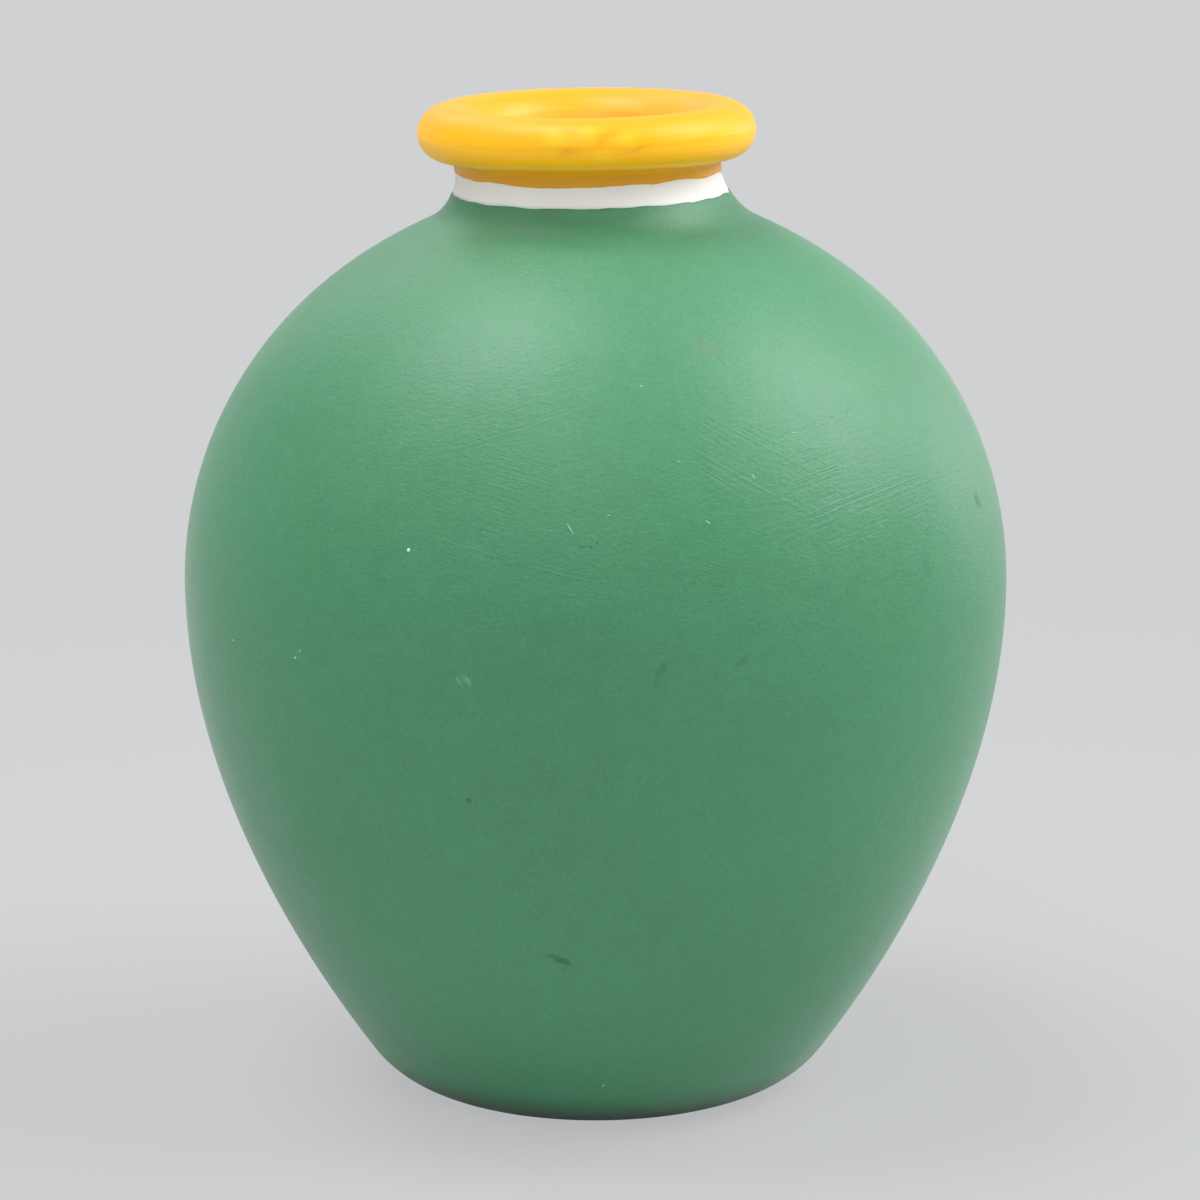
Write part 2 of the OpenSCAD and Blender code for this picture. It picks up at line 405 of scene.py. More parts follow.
# %% [markdown]
# ## The wheel
#
# A screw modifier or the spin tool could turn a profile about the axis, but then every turn would be the
# same. A Geometry Nodes tree turns it on a grid instead: one direction of the grid runs round the jar and
# the other runs along the profile, and each point looks up its place in the profile. As the tree knows the
# angle of each point, it can let the edges waver, wind the finger grooves into a spiral, and bend the jar
# as a hand-made one is bent: its rim sits a little to the left and dips there, and no circle is true.

# %% Helpers for node trees
def node(tree, kind, inputs=None, **settings):
    """Adds a node. An input is a value, or a socket of another node, which is linked."""
    made = tree.nodes.new(kind)
    for name, value in settings.items():
        setattr(made, name, value)
    for key, value in (inputs or {}).items():
        if isinstance(value, bpy.types.NodeSocket):
            tree.links.new(value, made.inputs[key])
        else:
            made.inputs[key].default_value = value
    return made


def sums(tree, operation, *values, **settings):
    made = node(tree, "ShaderNodeMath", dict(enumerate(values)), operation=operation, **settings)
    return made.outputs[0]


def vectors(tree, operation, a, b=None):
    """A vector operation, where a length or a scale by a number has its own socket."""
    inputs = {0: a}
    if b is not None:
        inputs["Scale" if operation == "SCALE" else 1] = b
    made = node(tree, "ShaderNodeVectorMath", inputs, operation=operation)
    return made.outputs["Value" if operation in ("LENGTH", "DOT_PRODUCT") else "Vector"]


def joined(tree, x, y, z):
    return node(tree, "ShaderNodeCombineXYZ", {0: x, 1: y, 2: z}).outputs[0]


def soft_step(tree, value, low, high):
    """0 below low, 1 above high and a soft step between."""
    inputs = {"Value": value, "From Min": low, "From Max": high}
    return node(tree, "ShaderNodeMapRange", inputs, interpolation_type="SMOOTHSTEP").outputs[0]


# %% The tree that turns a profile into a piece
WHEEL_INPUTS = {
    "Steps Round": ("NodeSocketInt", 320),
    "Edge Waver": ("NodeSocketFloat", 0.0018),
    "Edge Waves": ("NodeSocketFloat", 3.2),
    "Unevenness": ("NodeSocketFloat", 0.0007),
    "Bulge Size": ("NodeSocketFloat", 0.060),
    "Oval": ("NodeSocketFloat", 0.0015),
    "Lean": ("NodeSocketFloat", -0.0013),
    "Tilt": ("NodeSocketFloat", math.tan(math.radians(0.45))),
    "Lean Start": ("NodeSocketFloat", 0.176),
    "Lean End": ("NodeSocketFloat", 0.191),
    "Front Lift": ("NodeSocketFloat", 0.0013),
    "Lift Start": ("NodeSocketFloat", end_of["white_sweep"]),
    "Lift Middle": ("NodeSocketFloat", end_of["under"] + 0.001),
    "Lift End": ("NodeSocketFloat", end_of["roll_low"]),
    "Seed": ("NodeSocketFloat", 4.0),
    "Seam Distance": ("NodeSocketFloat", 0.000002),
}


def sampled(tree, profile, row, name, kind):
    """An attribute of the profile's point that belongs to this point of the grid."""
    value = node(tree, "GeometryNodeInputNamedAttribute", {"Name": name}, data_type=kind).outputs["Attribute"]
    inputs = {"Geometry": profile, "Value": value, "Index": row}
    return node(tree, "GeometryNodeSampleIndex", inputs, data_type=kind, domain="POINT").outputs[0]


def wheel_tree():
    tree = bpy.data.node_groups.new("turned_on_the_wheel", "GeometryNodeTree")
    tree.interface.new_socket("Geometry", in_out="INPUT", socket_type="NodeSocketGeometry")
    for name, (kind, value) in WHEEL_INPUTS.items():
        tree.interface.new_socket(name, in_out="INPUT", socket_type=kind).default_value = value
    tree.interface.new_socket("Material", in_out="INPUT", socket_type="NodeSocketMaterial")
    tree.interface.new_socket("Geometry", in_out="OUTPUT", socket_type="NodeSocketGeometry")
    given = node(tree, "NodeGroupInput").outputs
    profile = given["Geometry"]

    size = node(tree, "GeometryNodeAttributeDomainSize", {0: profile}, component="MESH")
    count = size.outputs["Point Count"]
    columns = sums(tree, "ADD", given["Steps Round"], 1.0)
    grid = node(tree, "GeometryNodeMeshGrid", {"Vertices X": columns, "Vertices Y": count})
    index = node(tree, "GeometryNodeInputIndex").outputs[0]
    row = sums(tree, "MODULO", index, count)
    column = sums(tree, "FLOOR", sums(tree, "DIVIDE", index, count))
    turns = sums(tree, "DIVIDE", column, given["Steps Round"])
    angle = sums(tree, "MULTIPLY", turns, 2 * math.pi)

    place = sampled(tree, profile, row, "position", "FLOAT_VECTOR")
    slide = sampled(tree, profile, row, "slide", "FLOAT_VECTOR")
    ring = sampled(tree, profile, row, "ring", "FLOAT_VECTOR")
    edge = sampled(tree, profile, row, "edge", "FLOAT")
    phase = sampled(tree, profile, row, "phase", "FLOAT")
    along = sampled(tree, profile, row, "along", "FLOAT")

    cosine, sine = sums(tree, "COSINE", angle), sums(tree, "SINE", angle)
    circle = vectors(tree, "SCALE", joined(tree, cosine, sine, edge), given["Edge Waves"])
    waves = {"Vector": circle, "W": given["Seed"], "Scale": 1.0, "Detail": 2.0, "Roughness": 0.45}
    waver = node(tree, "ShaderNodeTexNoise", waves, noise_dimensions="4D").outputs[0]
    waver = sums(tree, "MULTIPLY", sums(tree, "SUBTRACT", waver, 0.5), given["Edge Waver"])
    press = sums(tree, "COSINE", sums(tree, "MULTIPLY", sums(tree, "SUBTRACT", phase, turns), 2 * math.pi))
    press = sums(tree, "MULTIPLY_ADD", press, 0.5, 0.5)
    place = vectors(tree, "ADD", place, vectors(tree, "SCALE", slide, waver))
    place = vectors(tree, "ADD", place, vectors(tree, "SCALE", ring, press))
    rising = soft_step(tree, along, given["Lift Start"], given["Lift Middle"])
    falling = soft_step(tree, along, given["Lift End"], given["Lift Middle"])
    front = sums(tree, "POWER", sums(tree, "MULTIPLY_ADD", sine, -0.5, 0.5), 2.0)
    lift = sums(tree, "MULTIPLY", sums(tree, "MULTIPLY", rising, falling), sums(tree, "MULTIPLY", front, given["Front Lift"]))
    place = vectors(tree, "ADD", place, joined(tree, 0.0, 0.0, lift))
    turned = node(tree, "ShaderNodeVectorRotate", {"Vector": place, "Angle": angle}, rotation_type="Z_AXIS").outputs[0]

    split = node(tree, "ShaderNodeSeparateXYZ", {0: turned}).outputs
    flat = vectors(tree, "MULTIPLY", turned, (1.0, 1.0, 0.0))
    lumps = {"Vector": turned, "Scale": sums(tree, "DIVIDE", 1.0, given["Bulge Size"]), "Detail": 1.0, "W": given["Seed"]}
    lump = node(tree, "ShaderNodeTexNoise", lumps, noise_dimensions="4D").outputs[0]
    lump = sums(tree, "MULTIPLY", sums(tree, "SUBTRACT", lump, 0.5), given["Unevenness"])
    lump = sums(tree, "MULTIPLY", lump, soft_step(tree, split[2], 0.002, 0.030))
    lump = sums(tree, "MULTIPLY", lump, soft_step(tree, vectors(tree, "LENGTH", flat), 0.0, 0.020))
    bulged = vectors(tree, "ADD", turned, vectors(tree, "SCALE", vectors(tree, "NORMALIZE", flat), lump))
    wide = sums(tree, "ADD", 1.0, given["Oval"])
    narrow = sums(tree, "SUBTRACT", 1.0, given["Oval"])
    oval = vectors(tree, "MULTIPLY", bulged, joined(tree, wide, narrow, 1.0))

    share = soft_step(tree, split[2], given["Lean Start"], given["Lean End"])
    dip = sums(tree, "MULTIPLY", sums(tree, "MULTIPLY", split[0], given["Tilt"]), share)
    leaning = joined(tree, sums(tree, "MULTIPLY", given["Lean"], share), 0.0, dip)
    final = vectors(tree, "ADD", oval, leaning)

    formed = node(tree, "GeometryNodeSetPosition", {"Geometry": grid.outputs["Mesh"], "Position": final}).outputs[0]
    kept = {"Geometry": formed, "Name": "along", "Value": along}
    kept = node(tree, "GeometryNodeStoreNamedAttribute", kept, data_type="FLOAT", domain="POINT").outputs[0]
    closed = {"Geometry": kept, "Distance": given["Seam Distance"]}
    closed = node(tree, "GeometryNodeMergeByDistance", closed).outputs[0]
    shaded = node(tree, "GeometryNodeSetShadeSmooth", {0: closed}).outputs[0]
    real = node(tree, "GeometryNodeRealizeInstances", {0: shaded}).outputs[0]
    dressed = node(tree, "GeometryNodeSetMaterial", {"Geometry": real, "Material": given["Material"]}).outputs[0]
    node(tree, "NodeGroupOutput", {0: dressed})
    return tree


wheel = wheel_tree()
print("the wheel's tree has", len(wheel.nodes), "nodes")

# %% [markdown]
# A profile goes in as a mesh of loose points with its facts as attributes. The modifier's inputs are set
# before Blender looks at the object, its result becomes a plain mesh, and the modifier goes. Only then does
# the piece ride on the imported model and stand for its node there.

# %% Turn one piece on the wheel
def profile_mesh(name, rows):
    mesh = bpy.data.meshes.new(name)
    mesh.from_pydata([(r, 0, z) for r, z in rows["place"]], [], [])
    for fact in ("slide", "ring"):
        vector = np.column_stack([rows[fact][:, 0], np.zeros(len(rows)), rows[fact][:, 1]])
        attribute = mesh.attributes.new(fact, "FLOAT_VECTOR", "POINT")
        attribute.data.foreach_set("vector", vector.astype(np.float32).ravel())
    for fact in ("edge", "phase", "along"):
        attribute = mesh.attributes.new(fact, "FLOAT", "POINT")
        attribute.data.foreach_set("value", rows[fact].astype(np.float32))
    return mesh


def set_input(modifier, name, value):
    """Sets a modifier's input by the identifier of the socket with that name."""
    for item in modifier.node_group.interface.items_tree:
        if item.item_type == "SOCKET" and item.in_out == "INPUT" and item.name == name:
            modifier[item.identifier] = value


def make_plain(piece):
    """Puts the result of a piece's modifiers into its mesh and removes them."""
    graph = bpy.context.evaluated_depsgraph_get()
    mesh = bpy.data.meshes.new_from_object(piece.evaluated_get(graph), preserve_all_data_layers=True, depsgraph=graph)
    piece.modifiers.clear()
    piece.data = mesh
    mesh.name = piece.name


def corners(mesh):
    at = np.zeros(3 * len(mesh.vertices), np.float32)
    mesh.vertices.foreach_get("co", at)
    return at.reshape(-1, 3)


def throw(name, node_name, slot, material, **inputs):
    """Turns a node's profile and lets the piece stand for that node."""
    piece = bpy.data.objects.new(name, profile_mesh(name, profiles[node_name]))
    bpy.context.scene.collection.objects.link(piece)
    modifier = piece.modifiers.new("wheel", "NODES")
    modifier.node_group = wheel
    set_input(modifier, "Material", material)
    for key, value in inputs.items():
        set_input(modifier, key.replace("_", " ").title(), value)
    make_plain(piece)
    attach(piece, "root")
    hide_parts(node_name)
    at = corners(piece.data)
    low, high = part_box(node_name)
    off = 1000 * max(abs(at.min(0) - low).max(), abs(at.max(0) - high).max())
    piece.data.calc_loop_triangles()
    print(f"{name}: {len(piece.data.loop_triangles)} triangles, box within {off:.2f} mm of {node_name}")
    return piece

# %% [markdown]
# ## Materials
#
# A colour in this lesson is written as it looks on the screen, from 0 to 255, and turned into the linear
# values that Blender mixes. Each material starts from the Principled shader and gets its pattern from
# coordinates of the object, which are its real metres, so a grain of 0.4 mm is 0.4 mm wherever it lies.

# %% Helpers for materials
def srgb(red, green, blue):
    """A screen colour as linear values with full opacity."""
    parts = [x / 255 for x in (red, green, blue)]
    return (*[x / 12.92 if x <= 0.04045 else ((x + 0.055) / 1.055) ** 2.4 for x in parts], 1.0)


def new_material(name):
    """An empty material with a Principled shader, and its object coordinates."""
    material = bpy.data.materials.new(name)
    material.use_nodes = True
    tree = material.node_tree
    tree.nodes.clear()
    shader = node(tree, "ShaderNodeBsdfPrincipled")
    node(tree, "ShaderNodeOutputMaterial", {"Surface": shader.outputs[0]})
    place = node(tree, "ShaderNodeTexCoord").outputs["Object"]
    return material, tree, shader, place


def grain(tree, place, size, detail=2.0, roughness=0.5, seed=0.0):
    """Smooth noise with lumps of about the given size in metres, from 0 to 1."""
    inputs = {"Vector": place, "W": seed, "Scale": 1 / size, "Detail": detail, "Roughness": roughness}
    return node(tree, "ShaderNodeTexNoise", inputs, noise_dimensions="4D").outputs[0]


def lines(tree, across, size, detail=2.0, roughness=0.5):
    """Noise that changes along one measured number only, such as the way across a brush."""
    inputs = {"W": across, "Scale": 1 / size, "Detail": detail, "Roughness": roughness}
    return node(tree, "ShaderNodeTexNoise", inputs, noise_dimensions="1D").outputs[0]


def blend(tree, share, a, b, way="MIX"):
    """Mixes two colours."""
    inputs = {0: share, 6: a, 7: b}
    return node(tree, "ShaderNodeMix", inputs, data_type="RGBA", blend_type=way).outputs[2]


def between(tree, value, low, high):
    """Stretches a value from 0..1 to low..high."""
    return node(tree, "ShaderNodeMapRange", {"Value": value, "To Min": low, "To Max": high}).outputs[0]


def attribute(tree, name):
    return node(tree, "ShaderNodeAttribute", attribute_name=name).outputs["Fac"]


def bump(tree, height, depth, under=None):
    """Raises the surface by height times depth, in metres, over an earlier bump."""
    inputs = {"Height": height, "Distance": depth, "Strength": 1.0}
    if under is not None:
        inputs["Normal"] = under
    return node(tree, "ShaderNodeBump", inputs).outputs[0]


# %% [markdown]
# Hand work leaves marks: a dab of darker paint, a thin spot, a smudge. A mark has its place on the outline,
# as an angle from the camera's side and a length along the outline from the foot. A Mapping node turns the
# object's coordinates into those of the mark, in which its edge is a unit sphere, so a mark takes four
# nodes, is as sharp or as soft as it should be, and needs no picture.

# %% Marks at places on the outline
MARK_DEPTH = 0.006


def frame_at(angle, along, turn=0.0):
    """The place on the outline at an angle in degrees, and the turned axes there: round, up and out."""
    r, z, heading = [float(np.interp(along, run, outline[:, i])) for i in range(3)]
    a = math.radians(angle)
    out_r, out_z = math.sin(heading), -math.cos(heading)
    outward = Vector((math.sin(a) * out_r, -math.cos(a) * out_r, out_z))
    around = Vector((math.cos(a), math.sin(a), 0))
    up = outward.cross(around)
    axes = Matrix((around, up, outward)).transposed() @ Matrix.Rotation(math.radians(turn), 3, "Z")
    return Vector((r * math.sin(a), -r * math.cos(a), z)), axes


def mark(tree, place, angle, along, length, width, turn=0.0, softness=0.5):
    """1 in the middle of a mark and 0 outside it. The length runs round the jar, unless it is turned."""
    at, axes = frame_at(angle, along, turn)
    inputs = {"Vector": place, "Location": at, "Rotation": axes.to_euler(), "Scale": (length / 2, width / 2, MARK_DEPTH)}
    own = node(tree, "ShaderNodeMapping", inputs, vector_type="TEXTURE").outputs[0]
    return soft_step(tree, vectors(tree, "LENGTH", own), 1 + softness / 2, 1 - softness)


def ragged(tree, place, amount, size):
    """Coordinates pushed about by noise, so that the outline of a mark is not a clean ellipse."""
    noise = node(tree, "ShaderNodeTexNoise", {"Vector": place, "Scale": 1 / size, "Detail": 2.0}).outputs[1]
    push = vectors(tree, "SCALE", vectors(tree, "SUBTRACT", noise, (0.5, 0.5, 0.5)), amount)
    return vectors(tree, "ADD", place, push)


# %% [markdown]
# ### Green paint
#
# The green is a matt wall or craft paint, brushed on in short crossing strokes that meet like the legs of
# a V. Stiff bristles left grooves about a millimetre apart. The strokes are worked out later as attributes
# of the mesh, in two layers that show through each other: how far a point lies across the brush, and how
# deep the bristles bite there. Here the paint also gets its dark dabs, its smears and one thin brownish spot.

# %% Green paint
DARK_MARKS = [
    {"angle": 69, "along": 0.1388, "length": 0.0045, "width": 0.0026, "turn": -50, "share": 0.8},
    {"angle": -5.8, "along": 0.0550, "length": 0.0042, "width": 0.0018, "turn": -24, "share": 0.7},
    {"angle": -7.6, "along": 0.0560, "length": 0.0020, "width": 0.0010, "turn": -14, "share": 0.5},
    {"angle": -17.6, "along": 0.0912, "length": 0.0014, "width": 0.0010, "turn": 20, "share": 0.7},
    {"angle": 8.4, "along": 0.1178, "length": 0.0040, "width": 0.0018, "turn": 55, "share": 0.28},
    {"angle": 7.8, "along": 0.1152, "length": 0.0024, "width": 0.0012, "turn": 80, "share": 0.22},
    {"angle": 19.2, "along": 0.1182, "length": 0.0034, "width": 0.0014, "turn": 25, "share": 0.28},
    {"angle": -0.6, "along": 0.1408, "length": 0.0010, "width": 0.0008, "turn": -20, "share": 0.7},
    {"angle": -1.7, "along": 0.1410, "length": 0.0008, "width": 0.0006, "turn": 0, "share": 0.6},
    {"angle": 0.3, "along": 0.1416, "length": 0.0009, "width": 0.0007, "turn": 0, "share": 0.6},
    {"angle": 39.5, "along": 0.1624, "length": 0.0012, "width": 0.0010, "turn": 0, "share": 0.5},
    {"angle": 50.5, "along": 0.1310, "length": 0.0026, "width": 0.0050, "turn": 10, "share": 0.22},
    {"angle": 152, "along": 0.0860, "length": 0.0036, "width": 0.0014, "turn": 30, "share": 0.6},
    {"angle": -118, "along": 0.1420, "length": 0.0022, "width": 0.0012, "turn": -40, "share": 0.6},
]
THIN_SPOT = {"angle": 20.8, "along": 0.1801, "length": 0.0052, "width": 0.0062}
PALE_SMUDGE = {"angle": -17.3, "along": 0.1152, "length": 0.0036, "width": 0.0022, "turn": -8}


def green_paint():
    material, tree, shader, place = new_material("green_paint")
    clouds = grain(tree, place, 0.035, 3.0, 0.55)
    mottle = grain(tree, place, 0.004, 3.0, 0.6, 2.0)
    flattened = vectors(tree, "MULTIPLY", place, (1.0, 1.0, 2.4))
    stipple = grain(tree, flattened, 0.0016, 3.0, 0.7, 5.0)
    tooth = grain(tree, place, 0.0006, 2.0, 0.6, 9.0)
    wobble = between(tree, grain(tree, place, 0.010, 1.0, 0.5, 4.0), -0.0006, 0.0006)
    wear = soft_step(tree, grain(tree, place, 0.006, 2.0, 0.6, 7.0), 0.34, 0.64)
    grooves = 0.0
    for layer in ("under", "over"):
        across = sums(tree, "ADD", attribute(tree, "across_" + layer), wobble)
        bristles = lines(tree, across, 0.0006, 2.0, 0.6)
        bite = sums(tree, "MULTIPLY", attribute(tree, "bite_" + layer), wear)
        grooves = sums(tree, "MULTIPLY_ADD", sums(tree, "SUBTRACT", bristles, 0.5), bite, grooves)

    colour = blend(tree, clouds, srgb(52, 122, 81), srgb(62, 131, 93))
    speckle = between(tree, mottle, 0.90, 1.10)
    colour = blend(tree, 1.0, colour, joined(tree, speckle, speckle, speckle), "MULTIPLY")
    fine = sums(tree, "MULTIPLY", between(tree, grooves, 1.0, 0.86), between(tree, stipple, 0.90, 1.10))
    fine = sums(tree, "MULTIPLY", fine, between(tree, tooth, 0.74, 1.26))
    colour = blend(tree, 1.0, colour, joined(tree, fine, fine, fine), "MULTIPLY")
    # Painted shade: over its lowest 12 mm the green darkens towards the foot, where the jar's own shadow and the
    # contact shade on the floor fall.
    height = node(tree, "ShaderNodeSeparateXYZ", {0: place}).outputs[2]
    painted_foot_shade = soft_step(tree, sums(tree, "MULTIPLY_ADD", mottle, 0.003, height), 0.012, 0.002)
    colour = blend(tree, sums(tree, "MULTIPLY", painted_foot_shade, 0.9), colour, srgb(24, 50, 32))
    rough_place = ragged(tree, place, 0.0016, 0.0012)
    for facts in DARK_MARKS:
        shape = {key: value for key, value in facts.items() if key != "share"}
        share = sums(tree, "MULTIPLY", mark(tree, rough_place, **shape), facts["share"])
        colour = blend(tree, share, colour, srgb(26, 84, 52))
    colour = blend(tree, sums(tree, "MULTIPLY", mark(tree, rough_place, **THIN_SPOT), 0.25), colour, srgb(92, 116, 78))
    scratches = lines(tree, vectors(tree, "DOT_PRODUCT", place, (0.9, 0.0, 0.5)), 0.0009)
    smudge = sums(tree, "MULTIPLY", mark(tree, rough_place, **PALE_SMUDGE), soft_step(tree, scratches, 0.40, 0.65))
    colour = blend(tree, sums(tree, "MULTIPLY", smudge, 0.45), colour, srgb(140, 176, 150))
    tree.links.new(colour, shader.inputs["Base Color"])

    tree.links.new(between(tree, mottle, 0.42, 0.54), shader.inputs["Roughness"])
    shader.inputs["Specular IOR Level"].default_value = 0.56
    shader.inputs["Sheen Weight"].default_value = 0.17
    shader.inputs["Sheen Roughness"].default_value = 0.35
    relief = bump(tree, clouds, 0.0006)
    relief = bump(tree, mottle, 0.00006, relief)
    relief = bump(tree, grooves, 0.00013, relief)
    relief = bump(tree, stipple, 0.00010, relief)
    relief = bump(tree, tooth, 0.00004, relief)
    tree.links.new(relief, shader.inputs["Normal"])
    return material


# %% [markdown]
# ### Yellow paint
#
# The rim has a glossier yellow, laid on with the brush held still while the jar turned, so its fine lines
# run round the rim. The outline's own length, which the wheel kept as an attribute, counts the way across
# those lines. The neck strip under the roll is painted deeper and more orange: a thinner coat, and painted
# shade under the overhanging roll. The top of the roll carries a painted shade against the lamps above.

# %% Yellow paint
RIM_DABS = [
    {"angle": -12.9, "along": 0.2372, "length": 0.0054, "width": 0.0048, "turn": 10, "pale": True},
    {"angle": 10.8, "along": 0.2376, "length": 0.0044, "width": 0.0032, "turn": 20, "pale": True},
    {"angle": 2.8, "along": 0.2337, "length": 0.0054, "width": 0.0026, "turn": -8, "pale": True},
    {"angle": -2.0, "along": 0.2388, "length": 0.0050, "width": 0.0026, "turn": 15, "pale": True},
    {"angle": 4.5, "along": 0.2376, "length": 0.0066, "width": 0.0016, "turn": 38, "pale": False},
    {"angle": -7.6, "along": 0.2346, "length": 0.0048, "width": 0.0022, "turn": 5, "pale": False},
    {"angle": 14.5, "along": 0.2352, "length": 0.0050, "width": 0.0012, "turn": 12, "pale": False},
]


def yellow_paint():
    material, tree, shader, place = new_material("yellow_paint")
    along = attribute(tree, "along")
    drift = between(tree, grain(tree, place, 0.018, 2.0, 0.5, 1.0), -0.0012, 0.0012)
    bristles = lines(tree, sums(tree, "ADD", along, drift), 0.0009, 3.0, 0.6)
    clouds = grain(tree, place, 0.012, 3.0, 0.6, 3.0)
    # Painted shade and thin paint: the neck strip under the roll is darker and more orange, for the shade under the
    # overhanging roll and a thinner coat there.
    ragged_along = sums(tree, "MULTIPLY_ADD", clouds, 0.002, along)
    thin_paint_and_shade = soft_step(tree, ragged_along, end_of["under"] + 0.003, end_of["neck"] + 0.001)
    mouth = soft_step(tree, along, end_of["roll_out"] + 0.004, end_of["roll_in"] - 0.001)
    # Painted shade: the top of the roll is painted a deeper, more orange yellow to hold back the strong lamps above,
    # which light it most.
    painted_crest_shade = soft_step(tree, along, end_of["roll_low"] - 0.001, end_of["roll_out"] - 0.002)
    colour = blend(tree, clouds, srgb(252, 178, 8), srgb(255, 196, 18))
    colour = blend(tree, sums(tree, "MULTIPLY", painted_crest_shade, 0.85), colour, srgb(241, 158, 16))
    colour = blend(tree, mouth, colour, srgb(248, 192, 52))
    colour = blend(tree, sums(tree, "MULTIPLY", thin_paint_and_shade, 0.75), colour, srgb(210, 146, 8))
    streak = between(tree, bristles, 0.94, 1.04)
    colour = blend(tree, 1.0, colour, joined(tree, streak, streak, streak), "MULTIPLY")
    rough_place = ragged(tree, place, 0.003, 0.003)
    mended = 0.0
    for facts in RIM_DABS:
        shape = {key: value for key, value in facts.items() if key != "pale"}
        dab = mark(tree, rough_place, softness=0.9, **shape)
        tone = srgb(255, 212, 52) if facts["pale"] else srgb(226, 146, 12)
        colour = blend(tree, sums(tree, "MULTIPLY", dab, 0.34), colour, tone)
        mended = sums(tree, "MULTIPLY_ADD", dab, 1.0 if facts["pale"] else -1.0, mended)
    tree.links.new(colour, shader.inputs["Base Color"])
    tree.links.new(between(tree, clouds, 0.34, 0.48), shader.inputs["Roughness"])
    shader.inputs["Specular IOR Level"].default_value = 0.3
    relief = bump(tree, clouds, 0.00025)
    relief = bump(tree, mended, 0.00010, relief)
    relief = bump(tree, bristles, 0.00005, relief)
    tree.links.new(relief, shader.inputs["Normal"])
    return material


# %% [markdown]
# ### White undercoat
#
# The undercoat shows as the band on the neck. It is chalky, brushed round the neck, and takes a breath of
# the colours beside it where the brush with the next paint touched it.

# %% White undercoat
def white_undercoat():
    material, tree, shader, place = new_material("white_undercoat")
    along = attribute(tree, "along")
    bristles = lines(tree, along, 0.0008, 3.0, 0.6)
    clouds = grain(tree, place, 0.008, 3.0, 0.6)
    colour = blend(tree, clouds, srgb(228, 228, 225), srgb(239, 239, 238))
    near_green = sums(tree, "ADD", along, between(tree, clouds, -0.0004, 0.0004))
    tint = soft_step(tree, near_green, end_of["green_sweep"] + 0.0007, end_of["green_sweep"])
    colour = blend(tree, sums(tree, "MULTIPLY", tint, 0.5), colour, srgb(150, 206, 190))
    tree.links.new(colour, shader.inputs["Base Color"])
    shader.inputs["Roughness"].default_value = 0.6
    shader.inputs["Specular IOR Level"].default_value = 0.25
    relief = bump(tree, clouds, 0.0002)
    relief = bump(tree, bristles, 0.00004, relief)
    tree.links.new(relief, shader.inputs["Normal"])
    return material


# %% [markdown]
# ### Fired clay
#
# Inside and under the foot the clay is bare. Earthenware fires to a warm orange brown, dull and dry, with
# darker and paler grains of grog, a chalky bloom, and the fine lines of the slip that the fingers drew. Under
# the foot, the string that cut the pot from the wheel left bowed scratches, like the ribs of a shell.

# %% Fired clay
STRING_CENTRE = (0.046, -0.030, 0.0)
UNDERSIDE = (0.0016, 0.0011)


def fired_clay():
    material, tree, shader, place = new_material("fired_clay")
    clouds = grain(tree, place, 0.022, 4.0, 0.6)
    grog = grain(tree, place, 0.0009, 2.0, 0.6, 3.0)
    specks = grain(tree, place, 0.0018, 1.0, 0.5, 8.0)
    height = node(tree, "ShaderNodeSeparateXYZ", {0: place}).outputs[2]
    slip = lines(tree, height, 0.0011, 3.0, 0.6)
    colour = blend(tree, clouds, srgb(166, 92, 60), srgb(196, 122, 86))
    bloom = soft_step(tree, grain(tree, place, 0.030, 4.0, 0.7, 6.0), 0.52, 0.75)
    colour = blend(tree, sums(tree, "MULTIPLY", bloom, 0.35), colour, srgb(214, 170, 140))
    colour = blend(tree, sums(tree, "MULTIPLY", soft_step(tree, specks, 0.66, 0.74), 0.6), colour, srgb(92, 52, 38))
    from_string = vectors(tree, "LENGTH", vectors(tree, "SUBTRACT", place, STRING_CENTRE))
    ribs = soft_step(tree, lines(tree, from_string, 0.0016), 0.35, 0.65)
    scratches = sums(tree, "MULTIPLY", ribs, soft_step(tree, height, *UNDERSIDE))
    colour = blend(tree, sums(tree, "MULTIPLY", scratches, 0.35), colour, srgb(118, 62, 42))
    tree.links.new(colour, shader.inputs["Base Color"])
    tree.links.new(between(tree, grog, 0.78, 0.95), shader.inputs["Roughness"])
    relief = bump(tree, clouds, 0.0004)
    relief = bump(tree, slip, 0.00010, relief)
    relief = bump(tree, scratches, 0.0004, relief)
    relief = bump(tree, grog, 0.00007, relief)
    tree.links.new(relief, shader.inputs["Normal"])
    return material


clay = fired_clay()
white = white_undercoat()
green = green_paint()
yellow = yellow_paint()
print("nodes in each material:", {m.name: len(m.node_tree.nodes) for m in (clay, white, green, yellow)})

# %% [markdown]
# ## The pieces
#
# The five sections of clay come first, then the coats in the order in which they were brushed on. The
# undercoat and the paint over it have the same waver at the foot and in the mouth, where they end together.

# %% Turn the clay sections
clay_names = {
    "clay_disc": "base_slab",
    "clay_bowl": "lower_wall",
    "clay_dome": "upper_wall",
    "clay_collar": "neck_collar",
    "clay_rim_coil": "rim_coil",
}
for piece_name, node_name in clay_names.items():
    throw(piece_name, node_name, "clay", clay, steps_round=240)

# %% Turn the coats
undercoat = throw("undercoat", "primer_coat", "primer", white, steps_round=220)
green_skin = throw("green_paint_skin", "green_coat", "green_paint", green)
yellow_skin = throw("yellow_paint_skin", "yellow_coat", "yellow_paint", yellow)
